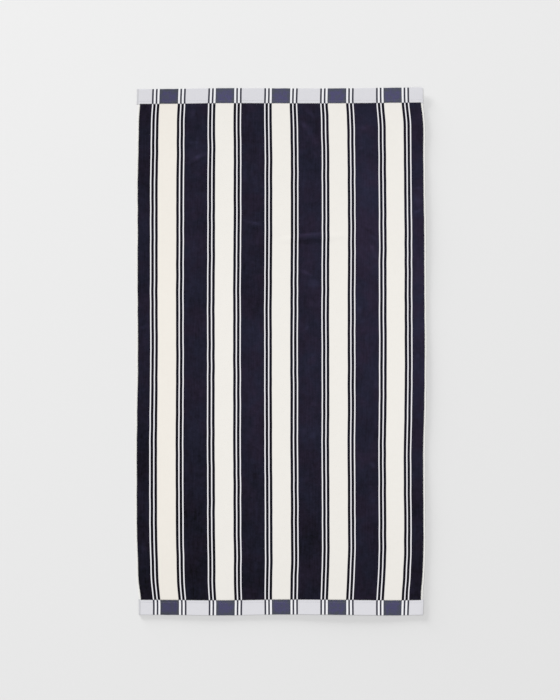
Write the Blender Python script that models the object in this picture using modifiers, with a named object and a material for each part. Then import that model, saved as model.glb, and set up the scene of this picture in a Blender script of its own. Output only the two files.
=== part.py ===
"""A striped beach towel, laid out face up on a flat surface.

One woven cloth, so one solid: a thick pile field, a thinner flat hem across each end and a narrow
flat hem down each side. The cloth's own sizes run across (along X) and along (along Y). It lies a
little unevenly: the end hems draw the sides in, the sides sway, and low ridges lift the cloth off the
surface here and there. Everywhere else the underside is flat, at z = 0.

Units are metres, +Z is up, and the origin is the bottom centre of the cloth's box.
"""

from bisect import bisect_right
from collections import namedtuple
from math import cos, radians, sin

import bmesh
import bpy

# Driving sizes of the flat cloth
TOWEL_LENGTH = 1.745
HALF_STRIPED = 0.4755  # from the middle stripe's centre line to the left edge of the pile
RIGHT_SHORTFALL = 0.0025  # the striped field reaches this much less far to the right
SIDE_HEM = 0.006  # the narrow turned hem down each side
END_HEM = 0.0495  # the flat turned hem across each end
PILE_THICKNESS = 0.0032
HEM_THICKNESS = 0.0020
PILE_STEP = 0.0025  # the pile reaches its full height this far in from a hem
EDGE_ROUNDING = 0.0007
EDGE_ROUNDING_STEPS = 2
ROUNDED_ABOVE = radians(60)  # only the rim's edges turn more sharply than this

# How finely the cloth is divided
COLUMN_PITCH = 0.027
ROW_PITCH = 0.029
FOLD_ROWS = (-0.028, -0.018, -0.009, 0.0, 0.009, 0.018, 0.028)  # closer rows, across the old fold's line

MILLIMETRE = 0.001
MATERIAL_COLOUR = (0.016, 0.014, 0.027, 1.0)
MATERIAL_ROUGHNESS = 0.95

# How far the cloth lies to the right of its straight place, in millimetres, at rows down its length:
# at the left side, on the middle line and at the right side.
SideLine = namedtuple("SideLine", "along left middle right")
SIDE_LINES = (
    SideLine(-0.873, 12.0, 0.5, -11.5),
    SideLine(-0.830, 11.5, 0.5, -10.5),
    SideLine(-0.800, 8.5, 0.5, -9.0),
    SideLine(-0.760, 3.5, 1.0, -6.0),
    SideLine(-0.680, 0.5, 2.5, -2.0),
    SideLine(-0.600, -2.0, 2.0, -1.0),
    SideLine(-0.440, -2.5, 1.5, -2.0),
    SideLine(-0.320, -2.5, 0.5, -2.0),
    SideLine(-0.200, -1.0, 0.5, 1.0),
    SideLine(0.000, 1.5, 0.0, 3.0),
    SideLine(0.160, 0.5, 0.0, 2.0),
    SideLine(0.400, 0.5, 1.5, 1.0),
    SideLine(0.560, 0.5, 1.5, -1.0),
    SideLine(0.660, 2.5, 1.5, -2.0),
    SideLine(0.740, 4.0, 0.0, -2.0),
    SideLine(0.780, 5.0, -0.5, -4.5),
    SideLine(0.820, 8.0, -1.0, -9.5),
    SideLine(0.873, 9.5, 0.0, -11.5),
)

# How far each end lies beyond its straight place towards +Y, in millimetres, across the cloth.
EndLine = namedtuple("EndLine", "across near_end far_end")
END_LINES = (
    EndLine(-0.482, 0.5, -2.5),
    EndLine(-0.380, 0.0, -2.0),
    EndLine(-0.190, -1.5, 0.5),
    EndLine(0.000, 1.5, 0.0),
    EndLine(0.190, 0.5, 0.0),
    EndLine(0.380, -1.5, 2.0),
    EndLine(0.480, 0.0, 3.0),
)
END_SWAY_REACH = 0.35  # an end's sway fades out this far from the end

# How far each end hem stands out past the line of the side hems, in millimetres.
Overhang = namedtuple("Overhang", "left right")
FAR_OVERHANG = Overhang(5.5, 1.5)
NEAR_OVERHANG = Overhang(2.0, 3.0)
HEM_STEP = 0.0015  # the step out to that line lies within this distance of the field's end

# Low ridges where the cloth stands off the surface. Each is an oval: its centre in the cloth's own
# sizes, half its length and half its width, how high it rises in millimetres, and how far its long
# way is turned from the X axis, anticlockwise, in degrees.
Ridge = namedtuple("Ridge", "across along reach spread rise turn")
RIDGES = (
    Ridge(0.100, 0.376, 0.150, 0.020, 2.2, 4),  # the line of an old fold, on the fourth dark bar
    Ridge(0.095, 0.722, 0.110, 0.048, 2.0, -50),
    Ridge(-0.285, 0.640, 0.120, 0.050, 1.8, 22),
    Ridge(-0.100, 0.424, 0.130, 0.048, 1.5, -17),
    Ridge(0.290, 0.390, 0.110, 0.050, 2.0, -52),
    Ridge(-0.100, -0.215, 0.120, 0.070, 1.6, 70),
    Ridge(0.110, -0.260, 0.170, 0.070, 1.8, 78),
    Ridge(-0.300, -0.420, 0.210, 0.090, 1.8, 84),
    Ridge(0.300, -0.560, 0.200, 0.080, 1.6, -75),
    Ridge(-0.330, 0.120, 0.200, 0.085, 1.5, 95),
    Ridge(0.480, 0.430, 0.280, 0.060, 0.9, 90),  # the right side stands off in three long waves
    Ridge(0.480, -0.080, 0.250, 0.055, 0.8, 90),
    Ridge(0.480, -0.560, 0.260, 0.060, 0.9, 90),
    Ridge(-0.480, -0.330, 0.240, 0.045, 0.8, 90),  # the left side in two
    Ridge(-0.480, 0.560, 0.240, 0.045, 0.7, 90),
    Ridge(-0.230, -0.872, 0.200, 0.070, 0.5, 0),  # each end hem in two
    Ridge(0.300, -0.872, 0.280, 0.080, 0.7, 0),
    Ridge(-0.200, 0.872, 0.220, 0.060, 0.9, 0),
    Ridge(0.420, 0.872, 0.180, 0.070, 1.0, 0),
)
OLD_FOLD = RIDGES[0]


def between(rows, place, position, column):
    """The value of a table's column at a position between its rows, on a smooth curve through them."""
    places = [getattr(row, place) for row in rows]
    values = [getattr(row, column) for row in rows]
    position = min(max(position, places[0]), places[-1])
    low = min(bisect_right(places, position), len(places) - 1) - 1
    slopes = []
    for row in (low, low + 1):
        before = max(row - 1, 0)
        after = min(row + 1, len(rows) - 1)
        slopes.append((values[after] - values[before]) / (places[after] - places[before]))
    length = places[low + 1] - places[low]
    share = (position - places[low]) / length
    rest = 1 - share
    start = rest * rest * ((1 + 2 * share) * values[low] + share * length * slopes[0])
    end = share * share * ((1 + 2 * rest) * values[low + 1] - rest * length * slopes[1])
    return start + end


def sideways(across, along):
    """How far a point of the cloth lies to the right of its straight place."""
    left = between(SIDE_LINES, "along", along, "left")
    middle = between(SIDE_LINES, "along", along, "middle")
    right = between(SIDE_LINES, "along", along, "right")
    share = max(-1.0, min(1.0, across / HALF_STRIPED))
    slope = (right - left) / 2
    bow = (right + left) / 2 - middle
    return (middle + slope * share + bow * share * share) * MILLIMETRE


def overhang(across, along):
    """How far a point on an end hem's side edge lies to the right of the side hems' line."""
    if abs(along) < TOWEL_LENGTH / 2 - END_HEM + HEM_STEP / 2:
        return 0.0
    reach = FAR_OVERHANG if along > 0 else NEAR_OVERHANG
    if across < -HALF_STRIPED - SIDE_HEM / 2:
        return -reach.left * MILLIMETRE
    if across > HALF_STRIPED - RIGHT_SHORTFALL + SIDE_HEM / 2:
        return reach.right * MILLIMETRE
    return 0.0


def lengthways(across, along):
    """How far a point of the cloth lies beyond its straight place, towards +Y."""
    column = "far_end" if along > 0 else "near_end"
    from_end = TOWEL_LENGTH / 2 - abs(along)
    fade = max(0.0, 1 - from_end / END_SWAY_REACH)
    return between(END_LINES, "across", across, column) * fade * MILLIMETRE


def lift(across, along):
    """How far the underside stands off the surface at a point of the cloth."""
    height = 0.0
    for ridge in RIDGES:
        turn = radians(ridge.turn)
        to_right = across - ridge.across
        to_far = along - ridge.along
        lengthwise = (to_right * cos(turn) + to_far * sin(turn)) / ridge.reach
        crosswise = (to_far * cos(turn) - to_right * sin(turn)) / ridge.spread
        inside = 1 - lengthwise * lengthwise - crosswise * crosswise
        if inside > 0:
            height += ridge.rise * MILLIMETRE * inside * inside
    return height


def evenly(start, end, pitch):
    """Positions from start to end, about a pitch apart."""
    steps = round((end - start) / pitch)
    return [start + (end - start) * step / steps for step in range(steps + 1)]


def columns():
    """Positions across the cloth: both side hems, the pile's steps, and even columns between them."""
    left = -HALF_STRIPED
    right = HALF_STRIPED - RIGHT_SHORTFALL
    inner = evenly(left + PILE_STEP, right - PILE_STEP, COLUMN_PITCH)
    return [left - SIDE_HEM, left, *inner, right, right + SIDE_HEM]


def rows():
    """Positions along the cloth: both end hems, the pile's steps, even rows, and rows on the old fold."""
    end = TOWEL_LENGTH / 2
    hem = end - END_HEM
    hem_middle = end - END_HEM / 2
    on_fold = [OLD_FOLD.along + offset for offset in FOLD_ROWS]
    before_fold = evenly(-hem + PILE_STEP, on_fold[0], ROW_PITCH)
    after_fold = evenly(on_fold[-1], hem - PILE_STEP, ROW_PITCH)
    inner = [*before_fold, *on_fold[1:-1], *after_fold]
    hem_step = hem + HEM_STEP
    return [-end, -hem_middle, -hem_step, -hem, *inner, hem, hem_step, hem_middle, end]


def in_pile(across, along):
    """Whether a point of the cloth is in the pile field, at its full height."""
    left = -HALF_STRIPED + PILE_STEP / 2
    right = HALF_STRIPED - RIGHT_SHORTFALL - PILE_STEP / 2
    end = TOWEL_LENGTH / 2 - END_HEM - PILE_STEP / 2
    return left < across < right and abs(along) < end


def underside_mesh():
    """The cloth's underside as an open grid in its laid shape, and the points that carry pile."""
    across_places = columns()
    along_places = rows()
    across_steps = len(across_places) - 1
    along_steps = len(along_places) - 1

    grid = bmesh.new()
    bmesh.ops.create_grid(grid, x_segments=across_steps, y_segments=along_steps, size=0.5)
    pile_points = []
    for point in grid.verts:
        across = across_places[round((point.co.x + 0.5) * across_steps)]
        along = along_places[round((point.co.y + 0.5) * along_steps)]
        point.co.x = across + sideways(across, along) + overhang(across, along)
        point.co.y = along + lengthways(across, along)
        point.co.z = lift(across, along)
        if in_pile(across, along):
            pile_points.append(point.index)

    middle_x = (min(p.co.x for p in grid.verts) + max(p.co.x for p in grid.verts)) / 2
    middle_y = (min(p.co.y for p in grid.verts) + max(p.co.y for p in grid.verts)) / 2
    bmesh.ops.translate(grid, verts=grid.verts, vec=(-middle_x, -middle_y, 0.0))

    mesh = bpy.data.meshes.new("towel")
    grid.to_mesh(mesh)
    grid.free()
    return mesh, pile_points


def cotton_material():
    """The cotton of the dark bars."""
    material = bpy.data.materials.new("navy_cotton_pile")
    material.use_nodes = True
    shader = material.node_tree.nodes["Principled BSDF"]
    shader.inputs["Base Color"].default_value = MATERIAL_COLOUR
    shader.inputs["Roughness"].default_value = MATERIAL_ROUGHNESS
    shader.inputs["Metallic"].default_value = 0.0
    return material


def make_towel(collection):
    """The towel: its underside grid, thickened upwards, thinner in the hems, with rounded edges."""
    mesh, pile_points = underside_mesh()
    towel = bpy.data.objects.new("towel", mesh)
    collection.objects.link(towel)
    mesh.materials.append(cotton_material())

    pile = towel.vertex_groups.new(name="pile")
    pile.add(pile_points, 1.0, "REPLACE")

    thickness = towel.modifiers.new("cloth thickness", "SOLIDIFY")
    thickness.thickness = PILE_THICKNESS
    thickness.offset = 1.0
    thickness.vertex_group = pile.name
    thickness.thickness_vertex_group = HEM_THICKNESS / PILE_THICKNESS

    rounding = towel.modifiers.new("rounded edges", "BEVEL")
    rounding.width = EDGE_ROUNDING
    rounding.segments = EDGE_ROUNDING_STEPS
    rounding.limit_method = "ANGLE"
    rounding.angle_limit = ROUNDED_ABOVE
    return towel


def main():
    for old in list(bpy.data.objects):
        bpy.data.objects.remove(old, do_unlink=True)
    collection = bpy.data.collections.new("beach_towel")
    bpy.context.scene.collection.children.link(collection)
    make_towel(collection)


main()
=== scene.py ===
"""The looks of a striped beach towel, lying flat and face up, seen from straight above.

The towel is one length of cloth. Its field has a cut pile (velour) on the face and loops on the back,
and the two colours change places from one side to the other. A flat woven band across each end is
turned under and sewn down, and so is a narrow flat band down each side.

A place on the flat cloth is given across it (from the middle line, to the right) and along it (from the
middle, towards the far end). One function, laid(), takes such places to the frame's own coordinates.
Units are metres, and millimetres in the tables whose comments say so.
"""

import math
from collections import namedtuple
from itertools import accumulate

import bpy
import numpy as np
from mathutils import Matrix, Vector, noise


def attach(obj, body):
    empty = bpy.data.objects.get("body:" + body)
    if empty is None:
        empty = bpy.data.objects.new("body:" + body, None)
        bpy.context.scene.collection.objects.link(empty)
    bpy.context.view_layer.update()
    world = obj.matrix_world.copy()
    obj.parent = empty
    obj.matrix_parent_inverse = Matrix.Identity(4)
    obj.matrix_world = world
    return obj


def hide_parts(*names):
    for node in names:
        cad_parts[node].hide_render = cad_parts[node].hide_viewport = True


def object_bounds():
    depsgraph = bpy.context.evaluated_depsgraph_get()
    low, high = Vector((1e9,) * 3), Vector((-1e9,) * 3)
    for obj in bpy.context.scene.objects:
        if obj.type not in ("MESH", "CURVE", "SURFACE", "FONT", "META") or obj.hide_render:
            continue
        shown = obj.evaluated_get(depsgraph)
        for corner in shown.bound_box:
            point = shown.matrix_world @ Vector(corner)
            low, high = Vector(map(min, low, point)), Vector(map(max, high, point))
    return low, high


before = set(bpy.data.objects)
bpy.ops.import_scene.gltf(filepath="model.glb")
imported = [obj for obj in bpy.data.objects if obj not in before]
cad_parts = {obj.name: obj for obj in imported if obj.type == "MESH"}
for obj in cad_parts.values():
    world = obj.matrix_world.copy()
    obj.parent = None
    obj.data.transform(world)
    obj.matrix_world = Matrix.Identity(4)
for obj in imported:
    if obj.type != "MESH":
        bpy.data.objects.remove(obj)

CAD_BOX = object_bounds()
MM = 0.001


def table(fields, *rows):
    """Rows of numbers, each with the fields' names."""
    kind = namedtuple("Row", fields)
    return tuple(kind(*row) for row in rows)


# The flat cloth's own sizes, as in the solid
TOWEL_LENGTH = 1.745
HALF_STRIPED = 0.4755
RIGHT_SHORTFALL = 0.0025
SIDE_HEM = 0.006
END_HEM = 0.0495

LEFT = -HALF_STRIPED
RIGHT = HALF_STRIPED - RIGHT_SHORTFALL
FIELD_END = TOWEL_LENGTH / 2 - END_HEM

# The cloth's layers, as heights above its underside
PILE_TOP = 3.2 * MM
GROUND_TOP = 1.35 * MM
GROUND_UNDERSIDE = 1.15 * MM
PILE_ROUNDING = 2.5 * MM  # the pile reaches its full height this far in from its edge
LOOP_ROUNDING = 1.5 * MM

# The stripes, from the middle of a cream band to the middle of a navy bar
CREAM_BAND = 62.4 * MM
NAVY_PIN = 7.3 * MM
CREAM_PIN = 5.35 * MM
NAVY_BAR = 76.5 * MM
STRIPE_REPEAT = CREAM_BAND + NAVY_BAR + 4 * (NAVY_PIN + CREAM_PIN)
DARK_SPREAD = 0.75 * MM  # navy pile leans out over the cream beside it
FIRST_BAND = -2 * STRIPE_REPEAT  # the middle line of the cream band at the left
LAST_BAND = 2 * STRIPE_REPEAT  # and of the one at the right
LAST_BAND_SHORTFALL = 1.8 * MM  # the one at the right is this much narrower than the others
LAST_BAND_TAPER = 0.8 * CREAM_BAND  # and loses it over this much of its width

# How far the cloth lies to the right of its straight place, at rows down its length, in millimetres
SIDE_LINES = table(
    "along left middle right",
    (-873, 12.0, 0.5, -11.5),
    (-830, 11.5, 0.5, -10.5),
    (-800, 8.5, 0.5, -9.0),
    (-760, 3.5, 1.0, -6.0),
    (-680, 0.5, 2.5, -2.0),
    (-600, -2.0, 2.0, -1.0),
    (-440, -2.5, 1.5, -2.0),
    (-320, -2.5, 0.5, -2.0),
    (-200, -1.0, 0.5, 1.0),
    (0, 1.5, 0.0, 3.0),
    (160, 0.5, 0.0, 2.0),
    (400, 0.5, 1.5, 1.0),
    (560, 0.5, 1.5, -1.0),
    (660, 2.5, 1.5, -2.0),
    (740, 4.0, 0.0, -2.0),
    (780, 5.0, -0.5, -4.5),
    (820, 8.0, -1.0, -9.5),
    (873, 9.5, 0.0, -11.5),
)

# How far each end lies beyond its straight place towards the far end, in millimetres
END_LINES = table(
    "across near_end far_end",
    (-482, 0.5, -2.5),
    (-380, 0.0, -2.0),
    (-190, -1.5, 0.5),
    (0, 1.5, 0.0),
    (190, 0.5, 0.0),
    (380, -1.5, 2.0),
    (480, 0.0, 3.0),
)
END_SWAY_REACH = 0.35  # an end's sway fades out this far from the end
LENGTH_SAMPLES = 400  # the laid outline is measured at so many places along each side
WIDTH_SAMPLES = 200  # and at so many across each end

# How far each end hem stands out past the line of the side hems
Overhang = namedtuple("Overhang", "left right")
FAR_OVERHANG = Overhang(5.5 * MM, 1.5 * MM)
NEAR_OVERHANG = Overhang(2.0 * MM, 3.0 * MM)

# Soft random unevenness: the size of its lumps, how far they reach to either side, and a seed
Lumps = namedtuple("Lumps", "size reach seed")
WAVER = Lumps(45 * MM, 0.7 * MM, 9.0)  # of the whole laid cloth, sideways
SMALL_PILE_LUMPS = Lumps(16 * MM, 0.10 * MM, 1.0)
WIDE_PILE_LUMPS = Lumps(45 * MM, 0.12 * MM, 2.0)
LOOP_LUMPS = Lumps(20 * MM, 0.08 * MM, 3.0)
SEAM_PUCKERS = Lumps(7 * MM, 0.22 * MM, 4.0)  # of an end hem, close to its seam
HEM_PUCKERS = Lumps(30 * MM, 0.12 * MM, 5.0)
END_SCALLOPS = Lumps(25 * MM, 0.5 * MM, 6.0)  # of an end hem's fold
SIDE_SCALLOPS = Lumps(18 * MM, 0.35 * MM, 7.0)  # of a side hem's fold
SEAM_PUCKER_REACH = 10 * MM
# The two ends, and the two sides, differ because each is read this far from the middle of the lumps
PUCKERS_READ_AT = 3.0
END_SCALLOPS_READ_AT = 5.0
SIDE_SCALLOPS_READ_AT = 7.0

# Low ridges where the cloth stands off the surface: an oval's centre, half its length, half its width
# and its rise, in millimetres, and its long way's turn from the X axis, in degrees, anticlockwise
RIDGES = table(
    "across along reach spread rise turn",
    (100, 376, 150, 20, 2.2, 4),  # the line of an old fold
    (95, 722, 110, 48, 2.0, -50),
    (-285, 640, 120, 50, 1.8, 22),
    (-100, 424, 130, 48, 1.5, -17),
    (290, 390, 110, 50, 2.0, -52),
    (-100, -215, 120, 70, 1.6, 70),
    (110, -260, 170, 70, 1.8, 78),
    (-300, -420, 210, 90, 1.8, 84),
    (300, -560, 200, 80, 1.6, -75),
    (-330, 120, 200, 85, 1.5, 95),
    (480, 430, 280, 60, 0.9, 90),
    (480, -80, 250, 55, 0.8, 90),
    (480, -560, 260, 60, 0.9, 90),
    (-480, -330, 240, 45, 0.8, 90),
    (-480, 560, 240, 45, 0.7, 90),
    (-230, -872, 200, 70, 0.5, 0),
    (300, -872, 280, 80, 0.7, 0),
    (-200, 872, 220, 60, 0.9, 0),
    (420, 872, 180, 70, 1.0, 0),
)

# Finer creases, in the same terms, and how much lighter the navy is painted along them, as painted
# sheen where the nap opens; below 0, it is painted shade. The last ones are slight lifts of the cloth's
# edges.
CREASES = table(
    "across along reach spread rise turn light",
    (-456, 80, 21, 10, 0.4, 20, 0.45),  # on the half bar at the left
    (-451, -656, 18, 17, 0.2, 0, 0.30),
    (-284, 637, 51, 13, 0.6, 28, 0.25),  # on the first whole bar
    (-277, 643, 13, 10, 0.3, 20, 0.55),
    (-262, 652, 20, 15, 0.2, 30, 0.30),
    (-287, 693, 31, 7, 0.3, 0, 0.45),
    (-260, 763, 43, 11, 0.2, 90, 0.35),
    (-296, 791, 20, 12, 0.2, 70, 0.35),
    (-94, 426, 46, 7, 0.5, -15, 0.55),  # on the second
    (-81, 421, 22, 14, 0.3, 5, 0.35),
    (-123, 585, 36, 10, 0.2, 90, 0.35),
    (-84, 613, 21, 14, 0.2, -50, 0.30),
    (-79, 367, 22, 10, 0.2, -85, 0.35),
    (-94, 295, 36, 7, 0.3, -30, 0.30),
    (96, 794, 33, 10, 0.3, -45, 0.50),  # on the third
    (86, 741, 38, 15, 0.8, -45, 0.50),
    (77, 747, 12, 10, 0.2, -45, 0.40),
    (95, 722, 14, 7, 0.2, -20, 0.45),
    (112, 700, 36, 18, 0.4, -65, 0.40),
    (110, 655, 24, 9, 0.3, -50, 0.35),
    # the next two rows are the old fold's painted highlight and painted shade
    (95, 389, 60, 6, 0.1, 4, 0.35),  # the old fold's light and dark sides
    (95, 370, 60, 9, 0.0, 4, -0.12),
    (82, 261, 29, 8, 0.6, -25, 0.85),
    (109, 224, 26, 22, 0.4, -30, 0.50),
    (99, 161, 16, 17, 0.3, -55, 0.35),
    (84, 77, 19, 9, 0.3, 35, 0.45),
    (107, -174, 15, 9, 0.3, -40, 0.50),
    (108, -276, 24, 20, 0.3, 20, 0.35),
    (274, 739, 13, 12, 0.3, 60, 0.45),  # on the fourth
    (265, 674, 14, 7, 0.2, 15, 0.40),
    (286, 402, 50, 8, 0.4, -34, -0.45),
    (306, 378, 30, 7, 0.2, -30, 0.35),
    (299, 346, 9, 8, 0.2, -65, 0.45),
    (306, 330, 40, 14, 0.4, -65, 0.50),
    (259, 138, 18, 11, 0.3, -80, 0.60),
    (313, -106, 20, 9, 0.3, -80, 0.60),
    (304, -377, 18, 11, 0.3, -60, 0.50),
    (306, -495, 31, 11, 0.2, 90, 0.35),
    (455, 541, 16, 7, 0.4, 10, 0.60),  # on the half bar at the right
    (455, 499, 26, 18, 0.4, -60, 0.65),
    (453, 464, 19, 7, 0.4, 20, 0.60),
    (450, -16, 10, 10, 0.3, 45, 0.50),
    (485, 790, 150, 50, 1.2, 90, 0.0),  # at the corners
    (485, -800, 120, 50, 1.2, 90, 0.0),
    (480, 875, 75, 50, 2.2, 0, 0.0),
    (150, -872, 320, 80, 0.8, 0, 0.0),  # along the near hem
)

# Wide patches where the nap lies another way, in the same terms but for the rise, and how much lighter
# or darker their sheen is painted there
PATCHES = table(
    "across along reach spread turn light",
    (-456, 760, 200, 90, 90, -0.25),
    (-456, 400, 450, 90, 90, -0.10),
    (-456, -320, 260, 90, 90, -0.20),
    (-270, 650, 240, 90, 90, 0.12),
    (-270, -640, 260, 90, 90, -0.18),
    (-90, 270, 220, 90, 90, -0.26),
    (-90, -120, 300, 90, 90, 0.18),
    (96, -580, 200, 90, 90, -0.18),
    (290, 540, 400, 90, 90, 0.24),
    (290, 250, 550, 100, 90, 0.16),
    (455, 340, 520, 80, 90, 0.16),
    (455, 100, 300, 80, 90, 0.18),
    (455, -660, 330, 90, 90, -0.30),
    (455, 780, 180, 90, 90, -0.15),
)

# How finely the pieces are divided
FACE_PITCH = 4.35 * MM
BACK_PITCH = 6.4 * MM
LOWER_STEP = 4  # a layer's lower side has one column or row to this many of its upper side's
HEM_PITCH = 3.0 * MM
SIDE_HEM_PITCH = 5.0 * MM
RIM_PLACES = (0.0, 0.35 * MM, 0.9 * MM, 1.6 * MM, 2.5 * MM)  # from the pile's edge inwards
HEM_RIM_PLACES = (0.0, 0.4 * MM, 1.2 * MM, 3.0 * MM, 5.2 * MM)  # from an end hem's side edge inwards

# A layer's own map keeps a strip for its lower side, which fills this share of it
LOWER_STRIP = 0.025
LOWER_STRIP_FILLED = 0.8

# The cut pile along the edges of the face, in rows of tufts that tilt outwards by so many degrees
PILE_LEAN = -0.4 * MM  # how far the pile reaches out over the hems: below 0, it stands back
TUFT_ROWS = table(
    "inwards height tilt length",
    (0.1 * MM, 1.85 * MM, 54, 1.5 * MM),
    (0.6 * MM, 1.95 * MM, 42, 1.45 * MM),
    (1.2 * MM, 2.00 * MM, 30, 1.35 * MM),
    (1.9 * MM, 2.05 * MM, 15, 1.2 * MM),
)
TUFT_PITCH = 0.95 * MM
TUFT_RADIUS = 0.33 * MM
TUFT_LENGTHS = (0.8, 1.15)  # the shortest and the longest, as shares of their row's length
# How far a tuft strays from its row at most: along the edge, inwards, in height, in tilt (degrees)
# and in its lean along the edge (radians)
TuftStray = namedtuple("TuftStray", "run inwards height tilt sidelong")
TUFT_STRAY = TuftStray(0.4 * TUFT_PITCH, 0.2 * MM, 0.1 * MM, 14, 0.25)

# The seams
STITCH_PITCH = 2.8 * MM
STITCH_LENGTH = 2.5 * MM
STITCH_STRAY = 0.06 * STITCH_PITCH  # how far it turns aside, at most, over one pitch
Stitch = namedtuple("Stitch", "height radius")  # the height is that of its middle
TOP_STITCH = Stitch(1.78 * MM, 0.20 * MM)
UNDER_STITCH = Stitch(0.16 * MM, 0.14 * MM)

# The strand that all tufts are copied from, and the one for all stitches: the sides and rings of its
# mesh, and how much thicker than its middle it is at its top
TUFT_STRAND = (4, 3, 0.2)
STITCH_STRAND = (5, 3, 0.0)

DICE = np.random.default_rng(11)


# ---------------------------------------------------------------- how the cloth lies


def between(rows, place, position, column):
    """A column's values at positions between a table's rows, on a smooth curve through them. The
    table is in millimetres, and the positions and values are in metres."""
    places = np.array([getattr(row, place) for row in rows]) * MM
    values = np.array([getattr(row, column) for row in rows]) * MM
    before = np.maximum(np.arange(len(rows)) - 1, 0)
    after = np.minimum(np.arange(len(rows)) + 1, len(rows) - 1)
    slopes = (values[after] - values[before]) / (places[after] - places[before])
    position = np.clip(position, places[0], places[-1])
    low = np.clip(np.searchsorted(places, position, side="right") - 1, 0, len(rows) - 2)
    length = places[low + 1] - places[low]
    share = (position - places[low]) / length
    rest = 1 - share
    start = rest * rest * ((1 + 2 * share) * values[low] + share * length * slopes[low])
    end = share * share * ((1 + 2 * rest) * values[low + 1] - rest * length * slopes[low + 1])
    return start + end


def sideways(across, along):
    """How far places on the cloth lie to the right of where a straight cloth would have them."""
    left = between(SIDE_LINES, "along", along, "left")
    middle = between(SIDE_LINES, "along", along, "middle")
    right = between(SIDE_LINES, "along", along, "right")
    share = np.clip(across / HALF_STRIPED, -1.0, 1.0)
    slope = (right - left) / 2
    bow = (right + left) / 2 - middle
    return middle + slope * share + bow * share * share


def lengthways(across, along):
    """How far places on the cloth lie beyond where a straight cloth would have them."""
    near_end = between(END_LINES, "across", across, "near_end")
    far_end = between(END_LINES, "across", across, "far_end")
    from_end = TOWEL_LENGTH / 2 - np.abs(along)
    fade = np.maximum(0.0, 1 - from_end / END_SWAY_REACH)
    return np.where(along > 0, far_end, near_end) * fade


def swell(ridge, across, along):
    """A ridge's shape at each place: 1 at its centre, falling smoothly to 0 at its rim."""
    turn = math.radians(ridge.turn)
    to_right = across - ridge.across * MM
    to_far = along - ridge.along * MM
    lengthwise = (to_right * math.cos(turn) + to_far * math.sin(turn)) / (ridge.reach * MM)
    crosswise = (to_far * math.cos(turn) - to_right * math.sin(turn)) / (ridge.spread * MM)
    inside = np.maximum(0.0, 1 - lengthwise * lengthwise - crosswise * crosswise)
    return inside * inside


def lift(across, along):
    """How far the cloth's underside stands off the surface."""
    return sum(ridge.rise * MM * swell(ridge, across, along) for ridge in RIDGES + CREASES)


def uneven(across, along, lumps):
    """How far soft random lumps reach at each place, to one side or the other."""
    places = np.stack(np.broadcast_arrays(across, along), axis=-1).reshape(-1, 2) / lumps.size
    values = [noise.noise(Vector((x, y, lumps.seed))) for x, y in places]
    return np.array(values).reshape(np.broadcast(across, along).shape) * lumps.reach


def laid_middle():
    """The middle of the laid cloth's outline, less that of the solid, which its box is centred on."""
    left, right, end = LEFT - SIDE_HEM, RIGHT + SIDE_HEM, TOWEL_LENGTH / 2
    run = np.linspace(-end, end, LENGTH_SAMPLES)
    leftmost = np.min(left + sideways(left, run))
    rightmost = np.max(right + sideways(right, run))
    run = np.linspace(left, right, WIDTH_SAMPLES)
    nearest = np.min(-end + lengthways(run, np.full(WIDTH_SAMPLES, -end)))
    farthest = np.max(end + lengthways(run, np.full(WIDTH_SAMPLES, end)))
    middle = np.array([leftmost + rightmost, nearest + farthest]) / 2
    box_middle = (np.array(CAD_BOX[0]) + np.array(CAD_BOX[1])) / 2
    return middle - box_middle[:2]


MIDDLE = laid_middle()


def laid(across, along, height):
    """Points in the frame for places on the flat cloth, at heights above its underside."""
    across, along, height = np.broadcast_arrays(across, along, height)
    x = across + sideways(across, along) + uneven(across / 2, along, WAVER) - MIDDLE[0]
    y = along + lengthways(across, along) - MIDDLE[1]
    return np.stack([x, y, height + lift(across, along)], axis=-1)


def evenly(start, end, pitch):
    """Positions from start to end, about a pitch apart."""
    return np.linspace(start, end, round((end - start) / pitch) + 1)


# ---------------------------------------------------------------- meshes


def select_only(piece):
    bpy.ops.object.select_all(action="DESELECT")
    piece.select_set(True)
    bpy.context.view_layer.objects.active = piece


def apply_modifier(piece, kind, **settings):
    """Puts a modifier on a piece and applies it."""
    select_only(piece)
    modifier = piece.modifiers.new(kind.title(), kind)
    for setting, value in settings.items():
        setattr(modifier, setting, value)
    bpy.ops.object.modifier_apply(modifier=modifier.name)


def new_grid(name, columns, rows):
    """A grid primitive of so many columns and rows of points, and each point's column and row."""
    bpy.ops.object.select_all(action="DESELECT")
    bpy.ops.mesh.primitive_grid_add(x_subdivisions=columns - 1, y_subdivisions=rows - 1, size=1)
    piece = bpy.context.object
    piece.name = name
    piece.data.name = name
    places = points_of(piece)
    column = np.rint((places[:, 0] + 0.5) * (columns - 1)).astype(int)
    row = np.rint((places[:, 1] + 0.5) * (rows - 1)).astype(int)
    return piece, column, row


def points_of(piece):
    places = np.empty(len(piece.data.vertices) * 3)
    piece.data.vertices.foreach_get("co", places)
    return places.reshape(-1, 3)


def set_points(piece, places):
    piece.data.vertices.foreach_set("co", np.ascontiguousarray(places).ravel())
    piece.data.update()


def set_cloth_map(piece, across, along):
    """Gives a piece a map named cloth, which holds each point's place on the flat cloth in metres."""
    mesh = piece.data
    corners = np.empty(len(mesh.loops), dtype=np.int32)
    mesh.loops.foreach_get("vertex_index", corners)
    cloth = mesh.uv_layers.new(name="cloth")
    cloth.uv.foreach_set("vector", np.stack([across, along], axis=-1)[corners].ravel())


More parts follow.
